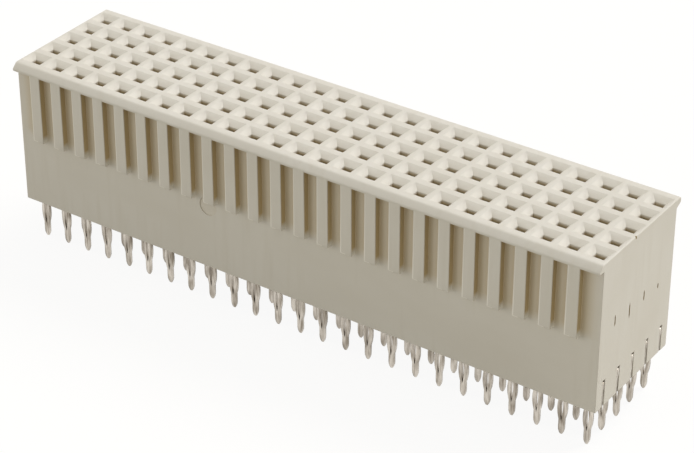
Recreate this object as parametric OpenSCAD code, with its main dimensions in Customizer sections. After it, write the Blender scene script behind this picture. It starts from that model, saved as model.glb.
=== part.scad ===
// Board-to-board socket connector: one moulded housing with five rows of twenty-five stamped contacts.
// The contacts' press-fit tails stand out of the underside and go into plated holes of a circuit board.
// Frame: X along the long side, Z up, origin on the board surface at the middle of the tail pattern.

/* [Contact grid] */
// Number of contact columns along the long side
columns = 25; // [2:1:25]
// Number of contact rows across the short side
rows = 5; // [1:1:6]
// Distance between neighbouring contacts, both ways
pitch = 2; // [1.9:0.05:2.6]

/* [Housing] */
// Height from the underside to the ridges between the pin entries
housing_h = 11.85; // [10.5:0.05:14]
// Distance from the last column's axis to the end face
end_margin = 1; // [0.9:0.05:2]
// Distance from the outer row's axis to the plain long face
side_margin = 1; // [0.9:0.05:2]
// How far the lip stands out of the plain long face
lip_proud = 0.55; // [0.4:0.05:1]
// Height of the lip, from the top down to its underside
lip_h = 0.6; // [0.45:0.05:1.2]
// Width of the slope along the front lip's top edge
lip_slope = 0.42; // [0.1:0.02:0.44]
// Radius of the back lip's rounded top edge
lip_radius = 0.12; // [0.04:0.02:0.4]
// Width of each rib under the lip
rib_w = 1; // [0.5:0.05:1.4]
// How far each rib stands out of the plain long face
rib_proud = 0.52; // [0.2:0.02:0.8]
// Distance from the top down to the ribs' lower ends
rib_drop = 6.15; // [3:0.05:9]

/* [Pin entries] */
// Width of a funnel's mouth, along the long side
mouth_w = 1.65; // [1.2:0.01:1.84]
// Width of a funnel's mouth, across the rows
mouth_d = 1.47; // [1.1:0.01:1.6]
// Depth of a funnel
funnel_h = 0.35; // [0.15:0.05:0.8]
// Width of the pin hole at the bottom of a funnel, along the long side
hole_w = 0.82; // [0.55:0.01:0.9]
// Width of the pin hole at the bottom of a funnel, across the rows
hole_d = 0.52; // [0.52:0.01:0.7]
// Thickness of the floor round the pin hole, under the funnel
land_h = 0.45; // [0.15:0.05:0.8]
// Width of the contact cavity under the floor, along the long side
cavity_w = 1.3; // [1.1:0.05:1.5]
// Height of the slots along the underside that hold the contacts' shoulders
slot_h = 2; // [1.4:0.05:3]

/* [Contacts] */
// Thickness of the sheet that the contacts are stamped from
stock = 0.3; // [0.2:0.01:0.4]
// Clearance between a contact's plate and each wall of its slot
slot_clearance = 0.03; // [0.01:0.01:0.08]
// Clearance between a contact's left and right sides and its cavity
cavity_clearance = 0.05; // [0.02:0.01:0.1]
// Clearance between a contact's front and back and its cavity
wall_clearance = 0.1; // [0.06:0.01:0.12]
// Gap between the shoulders of neighbouring contacts
shoulder_gap = 0.12; // [0.08:0.01:0.4]
// Height of the wide shoulder, measured down from the slot's ceiling
shoulder_h = 0.55; // [0.3:0.05:1]
// Width of the contact's stem between the shoulder and the board
stem_w = 0.84; // [0.7:0.02:1.2]
// Height of the base plate above the slot
base_h = 2.6; // [1.5:0.1:4]
// Depth of the folded side walls and of the beams, from the plate's front
wall_d = 0.66; // [0.5:0.02:0.8]
// Length of the folded side walls
wall_h = 1.8; // [1:0.1:2.4]
// Thickness of each spring beam
beam_t = 0.2; // [0.12:0.01:0.24]
// Length of the straight stretch at the foot of each beam
beam_foot_h = 1.6; // [0.5:0.1:2.5]
// Gap between the two beams where they grip the mating pin
grip_gap = 0.36; // [0.3:0.01:0.5]
// Distance from the cavity's ceiling down to the grip
grip_drop = 1.7; // [1.2:0.05:2.5]
// Free space between the beam tips and the cavity's ceiling
tip_clearance = 0.35; // [0.2:0.05:0.8]
// How far each beam tip flares out above the grip
tip_flare = 0.2; // [0.1:0.01:0.25]

/* [Press-fit tails] */
// Length of a tail below the underside of the housing
tail_l = 3.5; // [3.2:0.05:4.5]
// Width of a tail across its eye
eye_outer_w = 0.74; // [0.6:0.01:0.8]
// Length over which the eye's two legs bow out
eye_outer_h = 3; // [2.3:0.05:3.2]
// Depth of the eye's middle below the underside
eye_drop = 1.25; // [1.2:0.05:1.4]
// Width of the opening in the eye
eye_w = 0.22; // [0.14:0.01:0.3]
// Length of the opening in the eye
eye_h = 2.2; // [1:0.05:2.25]
// Width of the neck between the eye and the stem
neck_w = 0.44; // [0.34:0.02:0.5]
// Width of the straight lead-in at the tail's end
tip_w = 0.44; // [0.3:0.01:0.5]

/* [Hidden] */
$fn = 48;
housing_l = (columns - 1) * pitch + 2 * end_margin;
body_w = (rows - 1) * pitch + 2 * side_margin;
cavity_top = housing_h - funnel_h - land_h;
slot_t = stock + 2 * slot_clearance;
plate_w = cavity_w - 2 * cavity_clearance;
cavity_d = wall_d + 2 * wall_clearance;
// The pins run in the middle of the contacts' folded walls, so the entries lie this far behind the tails
entry_y = (wall_d - stock) / 2;
shoulder_w = pitch - shoulder_gap;
wall_top = slot_h + base_h;
grip_z = cavity_top - grip_drop;
beam_tip_z = cavity_top - tip_clearance;
// Cuts run this far past the faces they open, and joined pieces this far into each other
overcut = 0.5;
IVORY = [0.87, 0.85, 0.78];
TIN = [0.74, 0.73, 0.71];

function column_x(c) = (c - (columns + 1) / 2) * pitch;
function row_y(r) = (r - (rows + 1) / 2) * pitch;
function column_name(c) = str("contacts_", c < 10 ? "0" : "", c);

// Turns a flat outline in X and Z into a bar along Y, centred on Y = 0
module along_y(depth) {
    rotate([90, 0, 0])
        linear_extrude(height = depth, center = true)
            children();
}

// Turns a flat outline in Y and Z into a bar along X, centred on X = 0
module along_x(depth) {
    rotate([90, 0, 90])
        linear_extrude(height = depth, center = true)
            children();
}

// Housing: the front lip's cross-section, sloped along its top edge
module front_lip_section() {
    nose = body_w / 2 + lip_proud;
    polygon([
        [0, housing_h],
        [-nose + lip_slope, housing_h],
        [-nose, housing_h - lip_slope],
        [-nose, housing_h - lip_h],
        [0, housing_h - lip_h]
    ]);
}

// Housing: the back lip's cross-section, rounded along its top edge
module back_lip_section() {
    nose = body_w / 2 + lip_proud;
    translate([0, housing_h - lip_h])
        square([nose - lip_radius, lip_h]);
    translate([0, housing_h - lip_h])
        square([nose, lip_h - lip_radius]);
    translate([nose - lip_radius, housing_h - lip_radius])
        circle(r = lip_radius);
}

// Housing: the block with both lips
module housing_block() {
    along_x(housing_l) {
        translate([-body_w / 2, 0])
            square([body_w, housing_h]);
        front_lip_section();
        back_lip_section();
    }
}

// Housing: the ribs under both lips, one between each two columns
module ribs() {
    rib_h = rib_drop - lip_h;
    for (c = [1:columns - 1])
        translate([column_x(c) + pitch / 2 - rib_w / 2, -body_w / 2 - rib_proud, housing_h - rib_drop])
            cube([rib_w, body_w + 2 * rib_proud, rib_h + lip_h / 2]);
}

// Housing: half-width of a funnel, pin hole and cavity at each height, mirrored into a closed outline
module cell_profile(mouth, hole, cavity) {
    mouth_slope = (mouth - hole) / 2 / funnel_h;
    half = [
        [mouth / 2 + overcut * mouth_slope, housing_h + overcut],
        [hole / 2, housing_h - funnel_h],
        [hole / 2, cavity_top],
        [cavity / 2, cavity_top],
        [cavity / 2, -overcut]
    ];
    last = len(half) - 1;
    polygon(concat(half, [for (i = [0:last]) [-half[last - i][0], half[last - i][1]]]));
}

// Housing: all cells at once, where the bars along the rows cross the bars along the columns
module cells() {
    translate([0, entry_y, 0])
        intersection() {
            union()
                for (r = [1:rows])
                    translate([0, row_y(r), 0])
                        along_x(housing_l)
                            cell_profile(mouth_d, hole_d, cavity_d);
            union()
                for (c = [1:columns])
                    translate([column_x(c), 0, 0])
                        along_y(body_w)
                            cell_profile(mouth_w, hole_w, cavity_w);
        }
}

// Housing: one slot under each row, open below and at both ends
module shoulder_slots() {
    for (r = [1:rows])
        translate([-housing_l / 2 - overcut, row_y(r) - slot_t / 2, -overcut])
            cube([housing_l + 2 * overcut, slot_t, slot_h + overcut]);
}

module housing() {
    color(IVORY)
        difference() {
            union() {
                housing_block();
                ribs();
            }
            cells();
            shoulder_slots();
        }
}

// Contact: a pointed oval of the given width and height, cut out by two arcs
module bowed_outline(width, height) {
    arc_r = (height * height + width * width) / (4 * width);
    intersection_for (side = [-1, 1])
        translate([side * (arc_r - width / 2), 0])
            circle(r = arc_r, $fn = 96);
}

// Contact: the press-fit tail, from the underside down
module tail_outline() {
    difference() {
        union() {
            translate([0, -eye_drop])
                bowed_outline(eye_outer_w, eye_outer_h);
            translate([-tip_w / 2, -tail_l + tip_w / 2])
                square([tip_w, tail_l - tip_w / 2 - eye_drop]);
            translate([0, -tail_l + tip_w / 2])
                circle(d = tip_w);
            translate([-neck_w / 2, -eye_drop])
                square([neck_w, eye_drop + overcut]);
        }
        translate([0, -eye_drop])
            bowed_outline(eye_w, eye_h);
    }
}

// Contact: the stem, the shoulder under the slot's ceiling and the base plate above it
module plate_outline() {
    translate([-stem_w / 2, 0])
        square([stem_w, slot_h]);
    translate([-shoulder_w / 2, slot_h - shoulder_h])
        square([shoulder_w, shoulder_h]);
    translate([-plate_w / 2, slot_h - shoulder_h])
        square([plate_w, base_h + shoulder_h]);
}

// Contact: one spring beam, from its foot on the side wall to its flared tip
module beam_outline() {
    foot = plate_w / 2;
    bend_z = wall_top + beam_foot_h;
    grip = grip_gap / 2;
    polygon([
        [foot, wall_top - beam_t],
        [foot, bend_z],
        [grip + beam_t, grip_z],
        [grip + beam_t + tip_flare, beam_tip_z],
        [grip + tip_flare, beam_tip_z],
        [grip, grip_z],
        [foot - beam_t, bend_z],
        [foot - beam_t, wall_top - beam_t]
    ]);
}

module contact() {
    along_y(stock) {
        tail_outline();
        plate_outline();
    }
    for (side = [0, 1])
        mirror([side, 0, 0]) {
            translate([plate_w / 2 - stock, -stock / 2, wall_top - wall_h])
                cube([stock, wall_d, wall_h]);
            translate([0, entry_y, 0])
                along_y(wall_d)
                    beam_outline();
        }
}

// One column of separate contacts, a to e from the front row to the back row
module contact_column(c) {
    color(TIN)
        for (r = [1:rows])
            translate([column_x(c), row_y(r), 0])
                contact();
}

housing();
for (c = [1:columns]) contact_column(c);
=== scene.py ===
"""Rectangular pin connector: a moulded socket housing with five rows of stamped press-fit contacts.

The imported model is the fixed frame. The housing is rebuilt from one cell tile and one side tile, which
Geometry Nodes repeat along the contact grid, and each column of contacts is rebuilt from one stamped and
folded contact. Lengths are in metres, X runs along the long side, Z stands up from the board, and the board
surface is at zero.
"""

import logging
import math
from collections.abc import Iterable, Sequence
from dataclasses import dataclass, field
from enum import Enum, IntEnum
from itertools import pairwise

import bmesh
import bpy
from mathutils import Matrix, Vector

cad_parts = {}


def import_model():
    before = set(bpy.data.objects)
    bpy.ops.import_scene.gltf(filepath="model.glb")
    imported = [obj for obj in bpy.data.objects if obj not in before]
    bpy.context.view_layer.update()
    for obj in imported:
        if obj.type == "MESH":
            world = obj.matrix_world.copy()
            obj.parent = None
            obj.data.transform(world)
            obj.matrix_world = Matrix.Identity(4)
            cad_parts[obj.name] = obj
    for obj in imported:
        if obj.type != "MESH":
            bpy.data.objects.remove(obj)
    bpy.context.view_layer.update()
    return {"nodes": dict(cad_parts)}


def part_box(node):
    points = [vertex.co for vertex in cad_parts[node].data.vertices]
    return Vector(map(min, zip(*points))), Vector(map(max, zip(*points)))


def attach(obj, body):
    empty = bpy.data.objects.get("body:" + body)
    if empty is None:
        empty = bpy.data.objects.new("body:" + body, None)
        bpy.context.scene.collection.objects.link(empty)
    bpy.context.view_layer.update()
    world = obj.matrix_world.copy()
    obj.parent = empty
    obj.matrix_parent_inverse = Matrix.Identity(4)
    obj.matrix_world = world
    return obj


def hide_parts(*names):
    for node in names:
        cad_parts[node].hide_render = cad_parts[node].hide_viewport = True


LOG = logging.getLogger("pin_connector")
MM = 0.001
ROOT_BODY = "root"
HOUSING_NODE = "housing"
CONTACT_NODES = "contacts_"
MERGE_DISTANCE = 0.001 * MM
MICROMETRE_DIGITS = 6

Pair = tuple[float, float]
Point = tuple[float, float, float]
Level = tuple[float, float, float, float]
Colour = tuple[float, float, float, float]

WHITE: Colour = (1.0, 1.0, 1.0, 1.0)
SCREEN_FULL = 255
SCREEN_LINEAR_END = 0.04045
SCREEN_LINEAR_SLOPE = 12.92
SCREEN_OFFSET = 0.055
SCREEN_POWER = 2.4


def tone(red: float, green: float, blue: float) -> Colour:
    """Turns a screen colour into the linear colour that shaders take.

    Args:
        red: Red from 0 to 255.
        green: Green from 0 to 255.
        blue: Blue from 0 to 255.

    Returns:
        The linear colour with full alpha.
    """
    def to_linear(value: float) -> float:
        """Undoes the screen's transfer curve for one channel.

        Args:
            value: The channel from 0 to 255.

        Returns:
            Its linear value from 0 to 1.
        """
        share = value / SCREEN_FULL
        if share <= SCREEN_LINEAR_END:
            return share / SCREEN_LINEAR_SLOPE
        return ((share + SCREEN_OFFSET) / (1 + SCREEN_OFFSET)) ** SCREEN_POWER

    return (to_linear(red), to_linear(green), to_linear(blue), 1.0)


def rounded(corners: Sequence[Pair], radii: Sequence[float], flat: float) -> list[Pair]:
    """Rounds the corners of an open outline.

    Args:
        corners: The outline's corners, of which the first and the last stay as they are.
        radii: Radius of each corner between those two.
        flat: Angle that each flat of an arc turns through.

    Returns:
        The outline's points.
    """
    points = [Vector(corners[0])]
    for before, here, after, radius in zip(corners, corners[1:], corners[2:], radii):
        corner = Vector(here)
        back, ahead = (Vector(before) - corner).normalized(), (Vector(after) - corner).normalized()
        opening = back.angle(ahead)
        centre = corner + (back + ahead).normalized() * radius / math.sin(opening / 2)
        reach = radius / math.tan(opening / 2)
        first, last = corner + back * reach - centre, corner + ahead * reach - centre
        count = max(1, round((math.pi - opening) / flat))
        points += [centre + first.slerp(last, step / count) * radius for step in range(count + 1)]
    points.append(Vector(corners[-1]))
    return [(point.x, point.y) for point in points]


class Zone(IntEnum):
    """What a face of the housing is: it decides how its edges are rounded and how much painted shade or
    highlight it gets.
    """

    RIDGE = 0
    FUNNEL = 1
    HOLE = 2
    CAVITY = 3
    SLOT = 4
    UNDERSIDE = 5
    LIP = 6
    LIP_UNDERSIDE = 7
    RIB = 8
    RIB_SIDE = 9
    GAP = 10
    LONG_FACE = 11
    END_FACE = 12
    MARK = 13


class Side(Enum):
    """Whether a side tile carries half a rib at its left edge, and at its right edge."""

    LEFT_END = (False, True)
    BETWEEN = (True, True)
    RIGHT_END = (True, False)


@dataclass(frozen=True)
class Layout:
    """The contact grid and the outer sizes, as the frame gives them.

    Attributes:
        contact_nodes: Names of the contact columns' nodes, from left to right.
        rows: Number of contact rows.
        pitch: Distance between neighbouring contacts.
        nose: Distance from the middle to the lip's outermost line.
        top: Height of the mating face.
        tip: Height of the tails' ends, which is below the board surface.
    """

    contact_nodes: tuple[str, ...]
    rows: int
    pitch: float
    nose: float
    top: float
    tip: float

    @classmethod
    def from_frame(cls, nodes: Iterable[str]) -> "Layout":
        """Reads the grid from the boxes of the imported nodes.

        Args:
            nodes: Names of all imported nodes.

        Returns:
            The layout.
        """
        names = tuple(sorted(name for name in nodes if name.startswith(CONTACT_NODES)))
        low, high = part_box(names[0])
        next_low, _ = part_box(names[1])
        _, housing_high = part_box(HOUSING_NODE)
        pitch = round(next_low.x - low.x, MICROMETRE_DIGITS)
        return cls(
            contact_nodes=names,
            rows=1 + math.floor((high.y - low.y) / pitch),
            pitch=pitch,
            nose=round(housing_high.y, MICROMETRE_DIGITS),
            top=round(housing_high.z, MICROMETRE_DIGITS),
            tip=round(low.z, MICROMETRE_DIGITS),
        )

    @property
    def columns(self) -> int:
        """Number of contact columns."""
        return len(self.contact_nodes)

    @property
    def half_length(self) -> float:
        """Distance from the middle to an end face."""
        return self.columns * self.pitch / 2

    @property
    def half_body(self) -> float:
        """Distance from the middle to a plain long face."""
        return self.rows * self.pitch / 2

    def column_x(self, column: int) -> float:
        """X of a column's axis, counted from zero at the left end."""
        return (column - (self.columns - 1) / 2) * self.pitch

    def row_y(self, row: int) -> float:
        """Y of a row's axis, counted from zero at the front."""
        return (row - (self.rows - 1) / 2) * self.pitch


class Shell:
    """Collects the faces of a surface, with points at the same place shared.

    Attributes:
        GRAIN: Steps to which places are rounded to tell whether they are the same.
        mesh: The surface so far.
        zones: The layer that holds each face's zone.
        points: The vertex at each rounded place.
    """

    GRAIN = 1e-8

    def __init__(self) -> None:
        """Starts an empty surface with a zone on each face."""
        self.mesh = bmesh.new()
        self.zones = self.mesh.faces.layers.int.new("zone")
        self.points: dict[tuple[int, ...], bmesh.types.BMVert] = {}

    def point(self, place: Point) -> bmesh.types.BMVert:
        """Finds the vertex at a place, which is made when it isn't there yet.

        Args:
            place: The place.

        Returns:
            The vertex.
        """
        key = tuple(round(value / self.GRAIN) for value in place)
        if key not in self.points:
            self.points[key] = self.mesh.verts.new(place)
        return self.points[key]

    def face(self, places: Sequence[Point], zone: int = 0) -> None:
        """Adds one face, unless fewer than three of its corners lie apart.

        Args:
            places: Its corners in order.
            zone: The zone it belongs to.
        """
        corners = list(dict.fromkeys(self.point(place) for place in places))
        if len(corners) > 2:
            self.mesh.faces.new(corners)[self.zones] = int(zone)

    def wall(self, first: Sequence[Point], second: Sequence[Point], zone: int = 0) -> None:
        """Joins two closed outlines of as many points by four-sided faces.

        Args:
            first: Points of the first outline.
            second: Points of the second outline.
            zone: The zone of the faces.
        """
        pairs = list(zip(first, second))
        for (start, far_start), (end, far_end) in pairwise([*pairs, pairs[0]]):
            self.face([start, end, far_end, far_start], zone)

    def prism(self, first: Sequence[Point], second: Sequence[Point], zone: int = 0) -> None:
        """Adds a closed prism between two outlines of as many points.

        Args:
            first: Points of the first outline.
            second: Points of the second outline.
            zone: The zone of the faces.
        """
        self.face(first, zone)
        self.face(second, zone)
        self.wall(first, second, zone)

    def band(self, outer: Level, inner: Level, zone: int) -> None:
        """Joins two level rectangles, given as half length in X, lowest Y, highest Y and height."""
        self.wall(self.corners(outer), self.corners(inner), zone)

    @staticmethod
    def corners(level: Level) -> list[Point]:
        """Corners of a level rectangle, in order."""
        half, low, high, z = level
        return [(-half, low, z), (half, low, z), (half, high, z), (-half, high, z)]

    def finished(self, name: str, closed: bool = False) -> bpy.types.Mesh:
        """Turns the surface into a mesh.

        Args:
            name: Name of the mesh.
            closed: Whether the surface is closed, so that its faces can be turned outwards.

        Returns:
            The mesh.
        """
        if closed:
            bmesh.ops.recalc_face_normals(self.mesh, faces=self.mesh.faces)
        mesh = bpy.data.meshes.new(name)
        self.mesh.to_mesh(mesh)
        self.mesh.free()
        return mesh


def show(name: str, mesh: bpy.types.Mesh) -> bpy.types.Object:
    """Links a new object that shows a mesh, at the origin.

    Args:
        name: Name of the object.
        mesh: The mesh.

    Returns:
        The object.
    """
    piece = bpy.data.objects.new(name, mesh)
    bpy.context.scene.collection.objects.link(piece)
    return piece


def settle(piece: bpy.types.Object) -> None:
    """Turns a piece's modifiers into its plain mesh, and removes them.

    Args:
        piece: The piece.
    """
    depsgraph = bpy.context.evaluated_depsgraph_get()
    evaluated = piece.evaluated_get(depsgraph)
    mesh = bpy.data.meshes.new_from_object(evaluated, preserve_all_data_layers=True, depsgraph=depsgraph)
    mesh.name = piece.name
    piece.modifiers.clear()
    piece.data = mesh


def discard(piece: bpy.types.Object) -> bpy.types.Mesh:
    """Removes an object and keeps its mesh.

    Args:
        piece: The object.

    Returns:
        Its mesh.
    """
    mesh = piece.data
    bpy.data.objects.remove(piece)
    return mesh


def combine(piece: bpy.types.Object, other: bpy.types.Object, operation: str) -> None:
    """Adds an exact Boolean to a piece.

    Args:
        piece: The piece.
        other: The object that it is combined with.
        operation: The kind of Boolean.
    """
    modifier = piece.modifiers.new(operation.lower(), "BOOLEAN")
    modifier.operation = operation
    modifier.solver = "EXACT"
    modifier.object = other


def smooth(piece: bpy.types.Object) -> None:
    """Marks every face of a piece as smooth."""
    piece.data.polygons.foreach_set("use_smooth", [True] * len(piece.data.polygons))


def weigh_normals(piece: bpy.types.Object) -> None:
    """Lets the large faces keep their own shading beside rounded edges, with the sharp edges kept.

    Args:
        piece: The piece.
    """
    shading = piece.modifiers.new("shading", "WEIGHTED_NORMAL")
    shading.keep_sharp = True
    settle(piece)


class NodeGraph:
    """Adds nodes to a node tree and joins them.

    Attributes:
        nodes: The tree's nodes.
        links: The tree's links.
    """

    def __init__(self, tree: bpy.types.NodeTree) -> None:
        """Takes the tree to write to.

        Args:
            tree: The node tree.
        """
        self.nodes = tree.nodes
        self.links = tree.links

    def join(self, value: object, target: bpy.types.NodeSocket) -> None:
        """Joins a socket to an input, or sets the input to a plain value.

        Args:
            value: The socket or the plain value.
            target: The input.
        """
        if isinstance(value, bpy.types.NodeSocket):
            self.links.new(value, target)
        else:
            target.default_value = value

    def add(self, kind: str, inputs: dict[str | int, object], **settings: object) -> bpy.types.Node:
        """Adds a node and joins or sets its inputs.

        Args:
            kind: The node's type.
            inputs: Sockets to join, or plain values, by input name or number.
            settings: The node's own settings.

        Returns:
            The node.
        """
        made = self.nodes.new(kind)
        for name, value in settings.items():
            setattr(made, name, value)
        for key, value in inputs.items():
            self.join(value, made.inputs[key])
        return made

    def maths(self, operation: str, first: object, second: object = 0.0) -> bpy.types.NodeSocket:
        """Adds a Math node and returns its result."""
        return self.add("ShaderNodeMath", {0: first, 1: second}, operation=operation).outputs[0]

    def seen(self) -> bpy.types.NodeSocket:
        """Tells rays that show a surface to the camera, reflected ones too, from those that light others.

        Returns:
            One for such a ray, and zero for the others.
        """
        path = self.add("ShaderNodeLightPath", {}).outputs
        seen = path["Is Camera Ray"]
        for kind in ("Is Glossy Ray", "Is Transmission Ray"):
            seen = self.maths("MAXIMUM", seen, path[kind])
        return seen


@dataclass(frozen=True)
class Repeat:
    """One use of the repeat tree.

    Attributes:
        columns: Copies along X.
        rows: Copies along Y.
        pitch_x: Distance between copies along X.
        pitch_y: Distance between copies along Y.
        start_x: X of the pattern's middle.
        lean: How far a copy may lean sideways for each unit of length below the board surface.
        seed: Seed of the leaning.
        merge: Distance under which points of neighbouring copies become one.
    """

    columns: int = 1
    rows: int = 1
    pitch_x: float = 0.0
    pitch_y: float = 0.0
    start_x: float = 0.0
    lean: float = 0.0
    seed: int = 0
    merge: float = MERGE_DISTANCE


class RepeatTree(NodeGraph):
    """A Geometry Nodes tree that repeats a tile on a grid and makes one mesh of the copies.

    Attributes:
        INPUTS: Socket type and field of Repeat for each of the tree's inputs.
        LEAN: Name of the attribute that holds how far a copy leans.
        tree: The node tree.
        identifiers: The modifier's key for each input.
        given: Sockets that bring the inputs into the tree.
    """

    INPUTS = {
        "Columns": ("NodeSocketInt", "columns"),
        "Rows": ("NodeSocketInt", "rows"),
        "Pitch X": ("NodeSocketFloat", "pitch_x"),
        "Pitch Y": ("NodeSocketFloat", "pitch_y"),
        "Start X": ("NodeSocketFloat", "start_x"),
        "Lean": ("NodeSocketFloat", "lean"),
        "Seed": ("NodeSocketInt", "seed"),
        "Merge": ("NodeSocketFloat", "merge"),
    }
    LEAN = "lean"

    def __init__(self) -> None:
        """Builds the tree."""
        self.tree = bpy.data.node_groups.new("repeat_on_grid", "GeometryNodeTree")
        self.tree.is_modifier = True
        super().__init__(self.tree)
        sockets = self.tree.interface
        sockets.new_socket("Geometry", in_out="INPUT", socket_type="NodeSocketGeometry")
        self.identifiers = {
            name: sockets.new_socket(name, in_out="INPUT", socket_type=kind).identifier
            for name, (kind, _) in self.INPUTS.items()
        }
        finish = sockets.new_socket("Material", in_out="INPUT", socket_type="NodeSocketMaterial")
        self.identifiers["Material"] = finish.identifier
        sockets.new_socket("Geometry", in_out="OUTPUT", socket_type="NodeSocketGeometry")
        self.given = self.add("NodeGroupInput", {}).outputs
        self.build()

    def centred(self, index: bpy.types.NodeSocket, count: str, pitch: str) -> bpy.types.NodeSocket:
        """Places a counted copy so that the whole pattern is centred.

        Args:
            index: Number of the copy, from zero.
            count: Name of the input that holds the number of copies.
            pitch: Name of the input that holds their distance.

        Returns:
            The coordinate.
        """
        middle = self.maths("MULTIPLY", self.maths("SUBTRACT", self.given[count], 1.0), 0.5)
        return self.maths("MULTIPLY", self.maths("SUBTRACT", index, middle), self.given[pitch])

    def build(self) -> None:
        """Joins the nodes, from the grid's points to the finished mesh."""
        index = self.add("GeometryNodeInputIndex", {}).outputs[0]
        column = self.maths("MODULO", index, self.given["Columns"])
        row = self.maths("FLOOR", self.maths("DIVIDE", index, self.given["Columns"]))
        x = self.maths("ADD", self.centred(column, "Columns", "Pitch X"), self.given["Start X"])
        y = self.centred(row, "Rows", "Pitch Y")
        count = self.maths("MULTIPLY", self.given["Columns"], self.given["Rows"])
        places = self.add("ShaderNodeCombineXYZ", {"X": x, "Y": y}).outputs[0]
        points = self.add("GeometryNodePoints", {"Count": count, "Position": places}).outputs[0]
        copies = self.add(
            "GeometryNodeInstanceOnPoints", {"Points": points, "Instance": self.given["Geometry"]}
        ).outputs[0]
        realised = self.leaning(copies)
        merged = self.add(
            "GeometryNodeMergeByDistance", {"Geometry": realised, "Distance": self.given["Merge"]}
        ).outputs[0]
        dressed = self.add(
            "GeometryNodeSetMaterial", {"Geometry": merged, "Material": self.given["Material"]}
        ).outputs[0]
        self.add("NodeGroupOutput", {0: dressed})

    def leaning(self, copies: bpy.types.NodeSocket) -> bpy.types.NodeSocket:
        """Realises the copies and lets what hangs below the board surface lean a little.

        Args:
            copies: The copies on their points.

        Returns:
            The realised geometry.
        """
        chance = self.add(
            "FunctionNodeRandomValue",
            {0: (-1.0, -1.0, 0.0), 1: (1.0, 1.0, 0.0), "Seed": self.given["Seed"]},
            data_type="FLOAT_VECTOR",
        ).outputs[0]
        scaled = self.add(
            "ShaderNodeVectorMath", {0: chance, "Scale": self.given["Lean"]}, operation="SCALE"
        ).outputs[0]
        stored = self.add(
            "GeometryNodeStoreNamedAttribute",
            {"Geometry": copies, "Name": self.LEAN, "Value": scaled},
            data_type="FLOAT_VECTOR",
            domain="INSTANCE",
        ).outputs[0]
        realised = self.add("GeometryNodeRealizeInstances", {"Geometry": stored}).outputs[0]
        lean = self.add(
            "GeometryNodeInputNamedAttribute", {"Name": self.LEAN}, data_type="FLOAT_VECTOR"
        ).outputs[0]
        place = self.add("GeometryNodeInputPosition", {}).outputs[0]
        height = self.add("ShaderNodeSeparateXYZ", {0: place}).outputs["Z"]
        depth = self.maths("MAXIMUM", self.maths("MULTIPLY", height, -1.0), 0.0)
        offset = self.add("ShaderNodeVectorMath", {0: lean, "Scale": depth}, operation="SCALE").outputs[0]
        return self.add("GeometryNodeSetPosition", {"Geometry": realised, "Offset": offset}).outputs[0]

    def apply(self, piece: bpy.types.Object, repeat: Repeat, material: bpy.types.Material) -> None:
        """Repeats a piece's mesh and settles the result into it.

        Args:
            piece: The object that holds the tile.
            repeat: The pattern.
            material: The finish of the result.
        """
        modifier = piece.modifiers.new("repeat", "NODES")
        modifier.node_group = self.tree
        for name, (_, attribute) in self.INPUTS.items():
            modifier[self.identifiers[name]] = getattr(repeat, attribute)
        modifier[self.identifiers["Material"]] = material
        settle(piece)
        if self.LEAN in piece.data.attributes:
            piece.data.attributes.remove(piece.data.attributes[self.LEAN])


@dataclass(frozen=True)
class Pattern:
    """A soft noise of a real size.

    Attributes:
        size: Length of its features.
        layers: How many finer layers it has.
        stretch: How much longer its features are along each axis.
        span: Values of the noise at which what it drives starts and ends.
    """

    size: float
    layers: float = 2.0
    stretch: Point = (1.0, 1.0, 1.0)
    span: Pair = (0.3, 0.7)


class Palette(NodeGraph):
    """A small writer for a material's nodes.

    Attributes:
        MIX_INPUTS: Numbers of the Mix node's two colour inputs.
        MIX_RESULT: Number of its colour output.
        material: The material.
        shader: Its Principled surface.
        place: Socket with the place on the object.
    """

    MIX_INPUTS = (6, 7)
    MIX_RESULT = 2

    def __init__(self, name: str) -> None:
        """Starts a material with a plain Principled surface.

        Args:
            name: Name of the material.
        """
        self.material = bpy.data.materials.new(name)
        self.material.use_nodes = True
        super().__init__(self.material.node_tree)
        self.shader = self.nodes["Principled BSDF"]
        self.place = self.add("ShaderNodeTexCoord", {}).outputs["Object"]

    def set(self, name: str, value: object) -> None:
        """Sets or joins one input of the Principled surface."""
        self.join(value, self.shader.inputs[name])

    def noise(self, pattern: Pattern) -> bpy.types.NodeSocket:
        """Makes a noise of a real size.

        Args:
            pattern: What the noise is like.

        Returns:
            The noise's value.
        """
        scale = tuple(1 / value for value in pattern.stretch)
        mapped = self.add("ShaderNodeMapping", {"Vector": self.place, "Scale": scale}).outputs[0]
        inputs = {"Vector": mapped, "Scale": 1 / pattern.size, "Detail": pattern.layers}
        return self.add("ShaderNodeTexNoise", inputs).outputs[0]

    def ranged(
        self, value: bpy.types.NodeSocket, span: Pair, result: Pair = (0.0, 1.0)
    ) -> bpy.types.NodeSocket:
        """Maps a value from one range to another, clamped.

        Args:
            value: What is mapped.
            span: Values at which the result starts and ends.
            result: The result's first and last value.

        Returns:
            The mapped value.
        """
        limits = zip(("From Min", "From Max", "To Min", "To Max"), (*span, *result))
        return self.add("ShaderNodeMapRange", {"Value": value, **dict(limits)}).outputs[0]

    def blend(self, share: bpy.types.NodeSocket, first: object, second: object) -> bpy.types.NodeSocket:
        """Mixes two colours by a share."""
        inputs = {0: share, self.MIX_INPUTS[0]: first, self.MIX_INPUTS[1]: second}
        return self.add("ShaderNodeMix", inputs, data_type="RGBA").outputs[self.MIX_RESULT]

    def bump(self, height: bpy.types.NodeSocket, distance: float, strength: float) -> None:
        """Puts a relief of a real height on the surface."""
        relief = self.add("ShaderNodeBump", {"Height": height, "Distance": distance, "Strength": strength})
        self.set("Normal", relief.outputs[0])


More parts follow.
